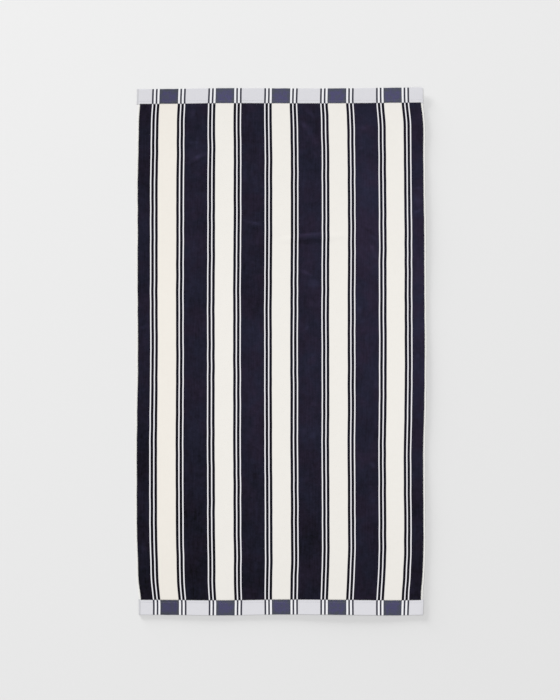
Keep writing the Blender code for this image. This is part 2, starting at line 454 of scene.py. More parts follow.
def set_picture_map(piece, across, along, upper_count):
    """Lays a layer out for an export that draws its colours on a picture. The upper side, which has
    the first points, takes nearly all of it, and the lower side a strip along its foot."""
    mesh = piece.data
    corners = np.empty(len(mesh.loops), dtype=np.int32)
    mesh.loops.foreach_get("vertex_index", corners)
    firsts = np.empty(len(mesh.polygons), dtype=np.int32)
    mesh.polygons.foreach_get("loop_start", firsts)
    face_lower = np.logical_and.reduceat(corners >= upper_count, firsts)
    lower = np.repeat(face_lower, np.diff(np.append(firsts, len(corners))))
    to_right = ((across - across.min()) / np.ptp(across))[corners]
    upwards = ((along - along.min()) / np.ptp(along))[corners]
    foot = LOWER_STRIP * LOWER_STRIP_FILLED * upwards
    upwards = np.where(lower, foot, LOWER_STRIP + (1 - LOWER_STRIP) * upwards)
    picture = mesh.uv_layers.new(name="OFBake")
    picture.uv.foreach_set("vector", np.stack([to_right, upwards], axis=-1).ravel())


def finish_mesh(piece, material):
    """Turns the faces outwards, shades them smooth and puts the material on."""
    select_only(piece)
    bpy.ops.object.mode_set(mode="EDIT")
    bpy.ops.mesh.select_all(action="SELECT")
    bpy.ops.mesh.normals_make_consistent(inside=False)
    bpy.ops.object.mode_set(mode="OBJECT")
    bpy.ops.object.shade_smooth()
    piece.data.materials.clear()
    piece.data.materials.append(material)


def strand_shape(sides, rings, swelling):
    """A small closed strand along the Z axis, from -1 to 1: its points and its faces."""
    bpy.ops.object.select_all(action="DESELECT")
    bpy.ops.mesh.primitive_uv_sphere_add(segments=sides, ring_count=rings, radius=1)
    strand = bpy.context.object
    points = points_of(strand)
    points[:, :2] *= 1 + swelling * points[:, 2:]
    faces = [np.array(face.vertices) for face in strand.data.polygons]
    bpy.data.objects.remove(strand)
    return points, faces


ASKEW = (1.0, 0.3, 0.1)  # a direction that no tuft or stitch lies along


def new_copies(name, strand, middles, ways, half_lengths, radii):
    """A piece of many copies of one strand, each with its middle, direction, half length and radius."""
    points, faces = strand_shape(*strand)
    count = len(middles)
    ways = ways / np.linalg.norm(ways, axis=1, keepdims=True)
    aside = np.cross(ways, ASKEW)
    aside /= np.linalg.norm(aside, axis=1, keepdims=True)
    radii = np.broadcast_to(radii, count)[:, None]
    half_lengths = np.broadcast_to(half_lengths, count)[:, None]
    axes = np.stack([aside * radii, np.cross(ways, aside) * radii, ways * half_lengths], axis=1)
    places = middles[:, None] + points @ axes
    firsts = range(0, count * len(points), len(points))
    all_faces = [(face + first).tolist() for first in firsts for face in faces]
    mesh = bpy.data.meshes.new(name)
    mesh.from_pydata(places.reshape(-1, 3).tolist(), [], all_faces)
    piece = bpy.data.objects.new(name, mesh)
    bpy.context.scene.collection.objects.link(piece)
    return piece


# ---------------------------------------------------------------- materials


class Value:
    """A socket that a material's nodes give. A sum on it adds the Math node that works it out."""

    def __init__(self, finish, socket):
        self.finish = finish
        self.socket = socket

    def maths(self, operation, *values):
        return self.finish.node("ShaderNodeMath", {"operation": operation}, dict(enumerate(values)))

    def __add__(self, other):
        return self.maths("ADD", self, other)

    def __sub__(self, other):
        return self.maths("SUBTRACT", self, other)

    def __mul__(self, other):
        return self.maths("MULTIPLY", self, other)

    def __rsub__(self, other):
        return self.maths("SUBTRACT", other, self)

    __radd__ = __add__
    __rmul__ = __mul__

    def past(self, edge, softness):
        """0 below an edge and 1 above it, with a soft step of the given width."""
        sockets = {0: self, 1: edge - softness / 2, 2: edge + softness / 2}
        return self.finish.node("ShaderNodeMapRange", {"interpolation_type": "SMOOTHSTEP"}, sockets)

    def absolute(self):
        return self.maths("ABSOLUTE", self)

    def pingpong(self, top):
        """The value folded back and forth between 0 and a top."""
        return self.maths("PINGPONG", self, top)

    def sine(self, period):
        return self.maths("SINE", self * (2 * math.pi / period))


class Finish:
    """A material while it is made: its nodes, and the one way of adding to them."""

    def __init__(self, name, **constants):
        self.material = bpy.data.materials.new(name)
        self.material.use_nodes = True
        self.nodes = self.material.node_tree.nodes
        self.links = self.material.node_tree.links
        self.shader = self.nodes["Principled BSDF"]
        for socket, value in constants.items():
            self.shader.inputs[socket.replace("_", " ")].default_value = value

    def node(self, kind, settings=None, sockets=None, output=0):
        """Adds a node, makes its settings, fills its sockets with values or links, gives an output."""
        new = self.nodes.new(kind)
        for setting, value in (settings or {}).items():
            setattr(new, setting, value)
        for place, value in (sockets or {}).items():
            if isinstance(value, Value):
                self.links.new(value.socket, new.inputs[place])
            else:
                new.inputs[place].default_value = value
        return Value(self, new.outputs[output])

    def cloth_place(self):
        """The point's place on the flat cloth, in metres, as a vector, and across and along."""
        place = self.node("ShaderNodeUVMap", {"uv_map": "cloth"})
        across = self.node("ShaderNodeSeparateXYZ", None, {0: place}, 0)
        along = self.node("ShaderNodeSeparateXYZ", None, {0: place}, 1)
        return place, across, along

    def attribute(self, name):
        return self.node("ShaderNodeAttribute", {"attribute_name": name}, None, "Fac")

    def noise(self, place, size, detail=2.0, along_scale=1.0):
        """Soft noise from 0 to 1 whose lumps are about the given size. An along scale below 1 draws
        them out along the cloth."""
        stretch = {0: place, 1: (1.0, along_scale, 1.0)}
        scaled = self.node("ShaderNodeVectorMath", {"operation": "MULTIPLY"}, stretch)
        sockets = {"Vector": scaled, "Scale": 1 / size, "Detail": detail}
        return self.node("ShaderNodeTexNoise", None, sockets)

    def mottle(self, place, kind):
        """A mottle's noise, from -0.5 to 0.5."""
        return self.noise(place, kind.size, kind.detail, kind.along_scale) - 0.5

    def mix(self, share, first, second):
        """The first colour where the share is 0 and the second where it is 1."""
        whole = [(*colour, 1.0) if isinstance(colour, tuple) else colour for colour in (first, second)]
        sockets = {0: share, 6: whole[0], 7: whole[1]}
        return self.node("ShaderNodeMix", {"data_type": "RGBA"}, sockets, 2)

    def tint(self, colour, amount):
        """A colour times an amount."""
        sockets = {0: colour, "Scale": amount}
        return self.node("ShaderNodeVectorMath", {"operation": "SCALE"}, sockets)

    def bump(self, height, relief):
        sockets = {"Height": height, "Strength": relief.strength, "Distance": relief.depth}
        return self.node("ShaderNodeBump", None, sockets)

    def wear(self, **values):
        """Links values to the shader's sockets and gives the finished material."""
        for socket, value in values.items():
            self.links.new(value.socket, self.shader.inputs[socket.replace("_", " ")])
        return self.material


# The edges of the thin stripes, out from the middle line of a cream band
PIN_EDGES = tuple(accumulate((CREAM_BAND / 2, NAVY_PIN, CREAM_PIN, NAVY_PIN, CREAM_PIN)))
PIN_BLEND = 1.0 * MM  # the thin stripes' own colours come in over this width

# How a stripe's edge wanders: the size of its teeth, their reach in all, and the edge's own softness
StripeEdge = namedtuple("StripeEdge", "size reach softness")
PILE_EDGE = StripeEdge(1.4 * MM, 0.8 * MM, 0.7 * MM)
LOOP_EDGE = StripeEdge(2.2 * MM, 2.0 * MM, 1.4 * MM)
HEM_EDGE = StripeEdge(3.0 * MM, 0.4 * MM, 0.6 * MM)

# Colours, as shares of red, green and blue light
NAVY = (0.0147, 0.0108, 0.0241)
BLUER_NAVY = (0.0121, 0.0121, 0.0265)
CREAM = (0.875, 0.850, 0.805)
WARM_CREAM = (0.878, 0.838, 0.776)  # the cream band at the left
PIN_WHITE = (0.880, 0.870, 0.905)  # the field's thin pale stripes
SLATE = (0.070, 0.066, 0.148)
DULL_SLATE = (0.066, 0.072, 0.098)
CHARCOAL = (0.034, 0.034, 0.052)  # the end hems' thin dark stripes
PALE = (0.705, 0.702, 0.738)
WHITE = (0.870, 0.872, 0.900)  # the end hems' thin pale stripes
# painted shade: a grey line along the end hems' left edges
EDGE_PAINTED_SHADE = (0.600, 0.600, 0.625)  # the end hems' left edges
WHITE_EDGE = (0.880, 0.870, 0.840)  # the side hems
THREAD = (0.300, 0.300, 0.335)
FIBRE_SHEEN = (0.45, 0.50, 0.85, 1.0)
PALE_LEVEL = 1.012  # the end hems' pale colours are multiplied by this
LOOPED_NAVY_LEVEL = 1.1  # and so are the loops' by these
LOOPED_CREAM_LEVEL = 0.97

# How much lighter a colour is for each metre to the right and for each metre towards the far end, and
# how much darker for the square of its metres along from the middle
Drift = namedtuple("Drift", "rightwards farwards to_ends")
# the navy's drift is painted sheen and painted shade: lighter to the right and towards the far end,
# darker towards both ends
NAVY_PAINTED_SHEEN_DRIFT = Drift(0.35, 0.20, 0.36)
CREAM_DRIFT = Drift(0.0, 0.0, 0.05)
SLATE_DRIFT = Drift(0.0, 0.05, 0.0)
PALE_DRIFT = Drift(0.02, -0.02, 0.0)

# Unevenness of colour: the size of its lumps, how finely they are broken up, their scale along the
# cloth (below 1, they are drawn out), and how much they change a dark colour and a pale one
Mottle = namedtuple("Mottle", "size detail along_scale on_dark on_pale")
PILE_MOTTLES = {
    "fibres": Mottle(1.1 * MM, 2.0, 1.0, 0.80, 0.08),
    "grain": Mottle(6.0 * MM, 2.0, 1.0, 0.50, 0.0),
    "clumps": Mottle(16 * MM, 3.0, 1.0, 0.80, 0.03),
    "patches": Mottle(70 * MM, 2.0, 0.7, 0.95, 0.02),
    "streaks": Mottle(5.0 * MM, 2.0, 0.08, 0.70, 0.0),
}
LOOP_CLUMPS = Mottle(18 * MM, 3.0, 1.0, 0.80, 0.05)
HEM_THREADS = Mottle(1.2 * MM, 2.0, 0.3, 0.50, 0.08)
BAND_THREADS = Mottle(1.5 * MM, 2.0, 0.3, 0.0, 0.08)
THREAD_TWIST = Mottle(0.5 * MM, 2.0, 1.0, 0.15, 0.0)

# How strongly a surface's fine relief shows, and how deep it is
Relief = namedtuple("Relief", "strength depth")
PILE_RELIEF = Relief(0.6, 0.6 * MM)
LOOP_RELIEF = Relief(0.8, 0.9 * MM)
WEAVE_RELIEF = Relief(0.5, 0.15 * MM)

# The navy pile is bluer where noise, in broad lumps and in narrow ones, passes an edge
BROAD_HUES = 110 * MM
NARROW_HUES = 30 * MM
BROAD_HUE_SHARE = 0.7
BLUER = (0.5, 0.25)  # the edge and its softness
PIN_SHADE = 0.55  # navy is this much darker among the thin cream stripes
PILE_TUFTS = 3.5 * MM  # the size of the pile's tufts in its relief
PILE_TUFT_DETAIL = 1.0

# The loops' close rows and columns, how far noise shakes them, and how much of the relief they give
LOOP_ROWS = 2.6 * MM
LOOP_COLUMNS = 2.0 * MM
LOOP_SHAKE_SIZE = 6 * MM
LOOP_SHAKE_REACH = 1.5 * MM
LOOP_ORDER = 0.35
LOOP_SIZE = 2.0 * MM

# The flat weave's ribs and threads, and how much they change its dark and its pale colours
RIB = 1.5 * MM
WARP = 1.1 * MM
WEAVE_ON_SLATE = 0.45
WEAVE_ON_PALE = 0.05

# The slate blocks of the end hems: duller along their rims and in blotches
SLATE_SPREAD = 0.35 * MM  # they reach this far past their stripes' edges
FIRST_BLOCK_SHADE = 0.16  # the one at the left is this much darker
DULL_RIM = 8 * MM
DULL_RIM_SOFTNESS = 10 * MM
DULL_BLOTCHES = 14 * MM
DULL = (0.52, 0.2)  # the blotches' edge and its softness
DULLING = 0.55
TRIM_SOFTNESS = 0.5 * MM  # of the line between an end hem's stripes and its side edge


def out_from_band(across):
    """How far a place is from the middle line of the nearest cream band."""
    beyond_last_middle = across.past(LAST_BAND, LAST_BAND_TAPER)
    return (across + beyond_last_middle * LAST_BAND_SHORTFALL).pingpong(STRIPE_REPEAT / 2)


def on_first_band(across):
    """1 on the cream band at the left, and 0 on the other four."""
    return 1.0 - across.past(FIRST_BAND + STRIPE_REPEAT / 2, STRIPE_REPEAT / 2)


def among_pins(from_band):
    """1 on a group of thin stripes, and 0 on the broad ones on either side of it."""
    started = from_band.past(PIN_EDGES[0] - PIN_BLEND, PIN_BLEND)
    return started - from_band.past(PIN_EDGES[-1], PIN_BLEND)


def dark_share(from_band, softness, spread):
    """1 on the dark stripes of the face and 0 on the pale ones, with the dark spread to either side."""
    share = from_band.past(PIN_EDGES[0] - spread, softness)
    for number, edge in enumerate(PIN_EDGES[1:]):
        dark_inside = number % 2 == 0
        step = from_band.past(edge + spread if dark_inside else edge - spread, softness)
        share = share - step if dark_inside else share + step
    return share


def drift(across, along, rates):
    """How much lighter a colour is at a place than in the middle of the cloth."""
    return across * rates.rightwards + along * rates.farwards - along * along * rates.to_ends


def ragged_stripes(finish, place, across, edge, spread):
    """Stripes whose edges wander: how far a place is from the middle line of the nearest cream band,
    and 1 on the dark stripes of the face and 0 on the pale ones."""
    from_band = out_from_band(across + (finish.noise(place, edge.size) - 0.5) * edge.reach)
    return from_band, dark_share(from_band, edge.softness, spread)


def velour_material():
    """Cut pile: dense and soft, with fuzzy stripe edges, and uneven where the nap lies other ways. The
    navy has painted sheen and painted shade: lighter to the right and towards the far end, darker
    towards the ends, and lighter or darker on slopes, creases and patches by how they face the light.
    """
    sheen = {"Sheen_Weight": 0.12, "Sheen_Roughness": 0.45, "Sheen_Tint": FIBRE_SHEEN}
    finish = Finish("velour_pile", Roughness=0.95, Specular_IOR_Level=0.12, **sheen)
    place, across, along = finish.cloth_place()
    from_band, dark = ragged_stripes(finish, place, across, PILE_EDGE, DARK_SPREAD)
    in_pins = among_pins(from_band)
    mottles = {name: finish.mottle(place, kind) for name, kind in PILE_MOTTLES.items()}
    on_navy = sum(mottles[name] * kind.on_dark for name, kind in PILE_MOTTLES.items())
    on_cream = sum(mottles[name] * kind.on_pale for name, kind in PILE_MOTTLES.items())

    hue = finish.noise(place, BROAD_HUES) * BROAD_HUE_SHARE
    hue = hue + finish.noise(place, NARROW_HUES) * (1 - BROAD_HUE_SHARE)
    navy = finish.mix(hue.past(*BLUER), NAVY, BLUER_NAVY)
    # painted sheen and painted shade on the navy: its drift, and the light of slopes, creases and
    # patches
    navy_level_with_painted_sheen = 1.0 + on_navy + drift(across, along, NAVY_PAINTED_SHEEN_DRIFT) + finish.attribute("painted_nap_sheen")
    navy = finish.tint(navy, navy_level_with_painted_sheen * (1.0 - in_pins * PIN_SHADE))
    cream = finish.mix(on_first_band(across), CREAM, WARM_CREAM)
    cream = finish.tint(cream, 1.0 + on_cream + drift(across, along, CREAM_DRIFT))
    cream = finish.mix(in_pins, cream, PIN_WHITE)

    tufts = finish.noise(place, PILE_TUFTS, PILE_TUFT_DETAIL)
    return finish.wear(
        Base_Color=finish.mix(dark, cream, navy),
        Normal=finish.bump(mottles["fibres"] * 0.5 + tufts * 0.5, PILE_RELIEF),
    )


def looped_material():
    """Uncut loops in close rows, with the two colours changed over."""
    sheen = {"Sheen_Weight": 0.10, "Sheen_Roughness": 0.5, "Sheen_Tint": FIBRE_SHEEN}
    finish = Finish("looped_reverse", Roughness=0.95, Specular_IOR_Level=0.15, **sheen)
    place, across, along = finish.cloth_place()
    _, pale = ragged_stripes(finish, place, across, LOOP_EDGE, -DARK_SPREAD)
    clumps = finish.mottle(place, LOOP_CLUMPS)
    navy = finish.tint(NAVY, LOOPED_NAVY_LEVEL + clumps * LOOP_CLUMPS.on_dark)
    cream = finish.tint(CREAM, LOOPED_CREAM_LEVEL + clumps * LOOP_CLUMPS.on_pale)

    shake = finish.noise(place, LOOP_SHAKE_SIZE) * LOOP_SHAKE_REACH
    order = (along + shake).sine(LOOP_ROWS) * (across + shake).sine(LOOP_COLUMNS)
    loops = order * LOOP_ORDER + finish.noise(place, LOOP_SIZE)
    return finish.wear(
        Base_Color=finish.mix(1.0 - pale, cream, navy),
        Normal=finish.bump(loops, LOOP_RELIEF),
    )


def slate_dullness(finish, place, along, from_band):
    """How dull a slate block is at a place: most by its sides and its ends, and in blotches."""
    blotches = finish.noise(place, DULL_BLOTCHES).past(*DULL)
    by_sides = from_band.past(CREAM_BAND / 2 - DULL_RIM, DULL_RIM_SOFTNESS)
    from_hem_middle = (along.absolute() - (FIELD_END + END_HEM / 2)).pingpong(END_HEM / 2)
    by_ends = from_hem_middle.past(END_HEM / 2 - DULL_RIM, DULL_RIM_SOFTNESS)
    return (by_sides + by_ends + blotches) * DULLING


def hem_material():
    """The end hems' flat weave, in fine ribs: slate where the field is cream, and pale elsewhere."""
    finish = Finish("flat_weave", Roughness=0.85, Specular_IOR_Level=0.25)
    place, across, along = finish.cloth_place()
    from_band, pale_share = ragged_stripes(finish, place, across, HEM_EDGE, -SLATE_SPREAD)
    in_pins = among_pins(from_band)
    rib = along.sine(RIB)
    warp = across.sine(WARP)
    checks = rib * warp
    threads = finish.mottle(place, HEM_THREADS)

    slate = finish.mix(slate_dullness(finish, place, along, from_band), SLATE, DULL_SLATE)
    slate_level = 1.0 + drift(across, along, SLATE_DRIFT) - on_first_band(across) * FIRST_BLOCK_SHADE
    slate_weave = threads * HEM_THREADS.on_dark + checks * WEAVE_ON_SLATE
    dark_colour = finish.mix(in_pins, finish.tint(slate, slate_level + slate_weave), CHARCOAL)
    pale_level = PALE_LEVEL + drift(across, along, PALE_DRIFT)
    pale_weave = threads * HEM_THREADS.on_pale + checks * WEAVE_ON_PALE
    pale_colour = finish.tint(finish.mix(in_pins, PALE, WHITE), pale_level + pale_weave)
    colour = finish.mix(1.0 - pale_share, pale_colour, dark_colour)

    wider_overhang = FAR_OVERHANG.left - NEAR_OVERHANG.left
    overhang = along.past(0.0, END_HEM) * wider_overhang + NEAR_OVERHANG.left
    # the end hem's left edge, where it stands out past the side hem, is painted grey as shade
    colour = finish.mix((across + overhang).past(LEFT, TRIM_SOFTNESS), EDGE_PAINTED_SHADE, colour)
    colour = finish.mix(across.past(RIGHT, TRIM_SOFTNESS), colour, PALE)
    return finish.wear(Base_Color=colour, Normal=finish.bump(rib * 0.5 + warp * 0.5, WEAVE_RELIEF))


def side_hem_material():
    """The side hems' plain narrow band."""
    finish = Finish("side_band", Roughness=0.85, Specular_IOR_Level=0.25)
    place, across, along = finish.cloth_place()
    colour = finish.tint(WHITE_EDGE, 1.0 + finish.mottle(place, BAND_THREADS) * BAND_THREADS.on_pale)
    weave = along.sine(RIB) * 0.5 + across.sine(WARP) * 0.5
    return finish.wear(Base_Color=colour, Normal=finish.bump(weave, WEAVE_RELIEF))


def thread_material():
    """Sewing thread, with its twist."""
    finish = Finish("sewing_thread", Roughness=0.6, Specular_IOR_Level=0.4)
    place = finish.node("ShaderNodeTexCoord", None, None, "Object")
    twist = finish.mottle(place, THREAD_TWIST) * THREAD_TWIST.on_dark
    return finish.wear(Base_Color=finish.tint(THREAD, 1.0 + twist))


# ---------------------------------------------------------------- the pile field

# The navy's painted sheen and painted shade on slopes: the way to the light in plan, how strongly a
# slope's square lightens it, and the least and most it paints
PAINTED_LIGHT_WAY = (-0.62, 0.78)  # in plan, the way the nap faces when it looks brightest
PAINTED_SHEEN_GAIN = 36.0  # how much lighter it looks for the square of a slope that way
PAINTED_SHADE_DARKEST = -0.28  # and the least and the most that a slope does
PAINTED_SHEEN_BRIGHTEST = 1.0
NAP_STEP = 1.5 * MM  # slopes are measured this far to either side


def painted_nap_sheen(across, along):
    """The navy's painted sheen and painted shade at each place: lighter where the cloth slopes to the
    light and darker where it slopes away, plus the painted light of creases and patches. The nap opens
    on steep slopes most of all, so a slope's painted sheen grows with its square."""
    rise_right = lift(across + NAP_STEP, along) - lift(across - NAP_STEP, along)
    rise_far = lift(across, along + NAP_STEP) - lift(across, along - NAP_STEP)
    slope_right, slope_far = rise_right / (2 * NAP_STEP), rise_far / (2 * NAP_STEP)
    facing = -(slope_right * PAINTED_LIGHT_WAY[0] + slope_far * PAINTED_LIGHT_WAY[1])
    painted_crease_and_patch_sheen = sum(place.light * swell(place, across, along) for place in CREASES + PATCHES)
    return np.clip(facing * np.abs(facing) * PAINTED_SHEEN_GAIN, PAINTED_SHADE_DARKEST, PAINTED_SHEEN_BRIGHTEST) + painted_crease_and_patch_sheen


def edge_share(across, along, lean, rounding):
    """The share of a layer's full height at each place: 0 on its edge, rounded up to 1."""
    from_side = np.minimum(across - LEFT, RIGHT - across)
    from_end = FIELD_END - np.abs(along)
    share = 1.0
    for distance in (from_side, from_end):
        inwards = np.clip((distance + lean) / rounding, 0.0, 1.0)
        share = share * np.sqrt(1 - (1 - inwards) ** 2)
    return share


def field_line(start, end, pitch):
    """Positions from edge to edge of the field, close together at the rim."""
    rim = np.array(RIM_PLACES)
    steps = LOWER_STEP * round((end - start) / pitch / LOWER_STEP)
    inner = np.linspace(start + rim[-1], end - rim[-1], steps + 1)
    return np.concatenate([start + rim[:-1], inner, end - rim[-2::-1]])


def laid_grid(name, across_places, along_places, height):
    """A grid laid out on the cloth, with its points' places across and along."""
    piece, column, row = new_grid(name, len(across_places), len(along_places))
    across = across_places[column]
    along = along_places[row]
    set_points(piece, laid(across, along, height(across, along)))
    return piece, across, along


def make_layer(name, pitch, lean, upper, lower, material):
    """One layer of the field: a fine upper side, a coarser lower one, and the rim between them."""
    across_places = field_line(LEFT - lean, RIGHT + lean, pitch)
    along_places = field_line(-FIELD_END - lean, FIELD_END + lean, pitch)
    coarse_places = across_places[::LOWER_STEP], along_places[::LOWER_STEP]
    lining, *lining_place = laid_grid("lining", *coarse_places, lower)
    piece, *place = laid_grid(name, across_places, along_places, upper)
    upper_count = len(place[0])
    across, along = (np.concatenate(pair) for pair in zip(place, lining_place))
    lining.select_set(True)
    bpy.ops.object.join()
    bpy.ops.object.mode_set(mode="EDIT")
    bpy.ops.mesh.select_mode(type="EDGE")
    bpy.ops.mesh.select_all(action="DESELECT")
    bpy.ops.mesh.select_non_manifold()
    bpy.ops.mesh.bridge_edge_loops()
    bpy.ops.object.mode_set(mode="OBJECT")
    set_cloth_map(piece, across, along)
    set_picture_map(piece, across, along, upper_count)
    set_painted_nap_sheen(piece, across, along)
    finish_mesh(piece, material)
    return piece


# Stores each point's painted sheen and painted shade for the navy pile's colour
def set_painted_nap_sheen(piece, across, along):
    piece.data.attributes.new("painted_nap_sheen", "FLOAT", "POINT").data.foreach_set("value", painted_nap_sheen(across, along))


def pile_top(across, along):
    clumps = uneven(across, along, SMALL_PILE_LUMPS) + uneven(across, along, WIDE_PILE_LUMPS)
    share = edge_share(across, along, PILE_LEAN, PILE_ROUNDING)
    return GROUND_TOP + (PILE_TOP - GROUND_TOP + clumps) * share


def ground_underside(across, along):
    return np.full(across.shape, GROUND_UNDERSIDE)


def ground_top(across, along):
    return np.full(across.shape, GROUND_TOP)


def loops_underside(across, along):
    clumps = LOOP_LUMPS.reach + uneven(across, along, LOOP_LUMPS)
    share = edge_share(across, along, 0.0, LOOP_ROUNDING)
    return GROUND_UNDERSIDE - (GROUND_UNDERSIDE - clumps) * share


def stray(most, count):
    """Random values, up to the most to either side of 0."""
    return DICE.uniform(-most, most, count)


def make_rim_tufts(name, side, lengthwise, material):
    """The cut ends of pile that stand out past one edge of the face: side is 1 at the far or right
    edge and -1 at the near or left one, and lengthwise is True for the edges down the sides."""
    edge, start, end = FIELD_END, LEFT, RIGHT
    if lengthwise:
        edge, start, end = RIGHT if side > 0 else -LEFT, -FIELD_END, FIELD_END
    runs, outs, heights, tilts, lengths = [], [], [], [], []
    for row in TUFT_ROWS:
        run = evenly(start, end, TUFT_PITCH)
        count = len(run)
        runs.append(run + stray(TUFT_STRAY.run, count))
        outs.append(edge + PILE_LEAN - row.inwards + stray(TUFT_STRAY.inwards, count))
        heights.append(row.height + stray(TUFT_STRAY.height, count))
        tilts.append(np.radians(row.tilt + stray(TUFT_STRAY.tilt, count)))
        lengths.append(row.length * DICE.uniform(*TUFT_LENGTHS, count))
    places = (runs, outs, heights, tilts, lengths)
    run, out, height, tilt, length = (np.concatenate(rows) for rows in places)
    run = np.clip(run, start, end)
    across, along = (side * out, run) if lengthwise else (run, side * out)
    middle = laid(across, along, height)
    outwards, sidelong = side * np.sin(tilt), np.sin(stray(TUFT_STRAY.sidelong, len(run)))
    plan = (outwards, sidelong) if lengthwise else (sidelong, outwards)
    growth = np.stack([*plan, np.cos(tilt)], axis=-1)
    middle += growth * length[:, None] / 2
    piece = new_copies(name, TUFT_STRAND, middle, growth, length / 2, TUFT_RADIUS)
    each = len(piece.data.vertices) // len(run)
    across, along = np.repeat(across, each), np.repeat(along, each)
    set_cloth_map(piece, across, along)
    set_painted_nap_sheen(piece, across, along)
    finish_mesh(piece, material)
    return piece


# ---------------------------------------------------------------- the turned hems

# A hem's three layers, as the heights of their middles above the cloth's underside
TOP_LAYER = 1.62 * MM
INNER_LAYER = 0.96 * MM
UNDER_LAYER = 0.32 * MM
LAYER = 0.55 * MM  # how thick each is
TUCK = 1.5 * MM  # the top layer starts this far in under the pile

# A turned hem, by distances out from the field's edge: its fold, where its under layer turns back in,
# its raw edge, and its seam. The step is between points along it.
Fold = namedtuple("Fold", "edge turn raw_edge seam step")
END_FOLD = Fold(END_HEM, 7.0 * MM, 16 * MM, 9.0 * MM, 2.0 * MM)
SIDE_FOLD = Fold(SIDE_HEM, -0.5 * MM, 4.6 * MM, 2.0 * MM, 1.0 * MM)
BEND_STEPS = 6
PINCH = 0.75  # a seam pulls the layers together to this share of their distance
PINCH_REACH = 2.5 * MM

SIDE_HEM_RUN_ON = 6.8 * MM  # a side hem runs on this far under each end hem
SQUEEZED = 0.55  # and keeps this share of its height there
SQUEEZED_FROM_END = 2.0 * MM  # it is squeezed up to this far in from the field's end
FULL_FROM_END = 7.0 * MM  # and has its full height from here
SQUEEZE_PITCH = 1.5 * MM


def fold_profile(fold):
    """A turned hem's profile, from under the pile out, round and back in: out, height and length."""
    outer_radius = (TOP_LAYER - UNDER_LAYER) / 2
    inner_radius = (INNER_LAYER - UNDER_LAYER) / 2
    outer_centre = fold.edge - outer_radius
    inner_centre = fold.turn + inner_radius
    down, up = -math.pi / 2, math.pi / 2
    out, height = [], []

    def run(start, end, at):
        places = evenly(min(start, end), max(start, end), fold.step)
        places = places if end > start else places[::-1]
        out.extend(places)
        height.extend([at] * len(places))

    def bend(centre_out, radius, first, last):
        for angle in np.linspace(first, last, BEND_STEPS + 1)[1:-1]:
            out.append(centre_out + radius * math.cos(angle))
            height.append(UNDER_LAYER + radius + radius * math.sin(angle))

    run(-TUCK, outer_centre, TOP_LAYER)
    bend(outer_centre, outer_radius, up, down)
    run(outer_centre, inner_centre, UNDER_LAYER)
    bend(inner_centre, inner_radius, down, up - 2 * math.pi)
    run(inner_centre, fold.raw_edge, INNER_LAYER)
    out, height = np.array(out), np.array(height)
    length = np.concatenate([[0.0], np.cumsum(np.hypot(np.diff(out), np.diff(height)))])
    pinch = 1 - (1 - PINCH) * np.exp(-((out - fold.seam) / PINCH_REACH) ** 2)
    height = INNER_LAYER + (height - INNER_LAYER) * pinch
    return out, height, length


def puckers(across, outwards, side):
    """How an end hem's top layer rises and falls, most of all by its seam."""
    near_seam = np.exp(-((outwards - END_FOLD.seam) / SEAM_PUCKER_REACH) ** 2)
    fine = uneven(across, side * PUCKERS_READ_AT, SEAM_PUCKERS) * near_seam
    return fine + uneven(across, outwards + side, HEM_PUCKERS)


def make_end_hem(name, side, material):
    """The turned hem across one end: side is 1 at the far end and -1 at the near one."""
    out, height, length = fold_profile(END_FOLD)
    overhang = FAR_OVERHANG if side > 0 else NEAR_OVERHANG
    left = LEFT - SIDE_HEM - overhang.left
    right = RIGHT + SIDE_HEM + overhang.right
    rim = np.array(HEM_RIM_PLACES)
    middle = evenly(left + rim[-1], right - rim[-1], HEM_PITCH)
    across_places = np.concatenate([left + rim[:-1], middle, right - rim[-2::-1]])
    piece, column, row = new_grid(name, len(across_places), len(out))
    across = across_places[column]
    outwards = out[row]
    level = height[row]

    level = level + np.where(level > INNER_LAYER, puckers(across, outwards, side), 0.0)
    scallops = uneven(across, side * END_SCALLOPS_READ_AT, END_SCALLOPS)
    scallops = scallops * np.clip(outwards / END_HEM, 0, 1)
    along = side * (FIELD_END + outwards + scallops)
    set_points(piece, laid(across, along, level))
    set_cloth_map(piece, across, side * (FIELD_END + length[row]))
    apply_modifier(piece, "SOLIDIFY", thickness=LAYER, offset=0.0)
    finish_mesh(piece, material)
    return piece


def squeeze(along):
    """The share of its height that a side hem keeps: less where it runs in under an end hem."""
    share = (FIELD_END - SQUEEZED_FROM_END - np.abs(along)) / (FULL_FROM_END - SQUEEZED_FROM_END)
    share = np.clip(share, 0.0, 1.0)
    return SQUEEZED + (1 - SQUEEZED) * share * share * (3 - 2 * share)


def make_side_hem(name, side, material):
    """The narrow turned hem down one side: side is 1 at the right and -1 at the left."""
    out, height, length = fold_profile(SIDE_FOLD)
    end = FIELD_END + SIDE_HEM_RUN_ON
    close = evenly(end - 2 * FULL_FROM_END, end, SQUEEZE_PITCH)
    middle = evenly(-close[0], close[0], SIDE_HEM_PITCH)
    along_places = np.concatenate([-close[:0:-1], middle, close[1:]])
    piece, column, row = new_grid(name, len(out), len(along_places))
    outwards = out[column]
    along = along_places[row]
    level = UNDER_LAYER + (height[column] - UNDER_LAYER) * squeeze(along)
    scallops = uneven(side * SIDE_SCALLOPS_READ_AT, along, SIDE_SCALLOPS)
    scallops = scallops * np.clip(outwards / SIDE_HEM, 0, 1)
    edge = RIGHT if side > 0 else LEFT
    across = edge + side * (outwards + scallops)
    set_points(piece, laid(across, along, level))
    set_cloth_map(piece, edge + side * length[column], along)
    apply_modifier(piece, "SOLIDIFY", thickness=LAYER, offset=0.0)
    finish_mesh(piece, material)
    return piece


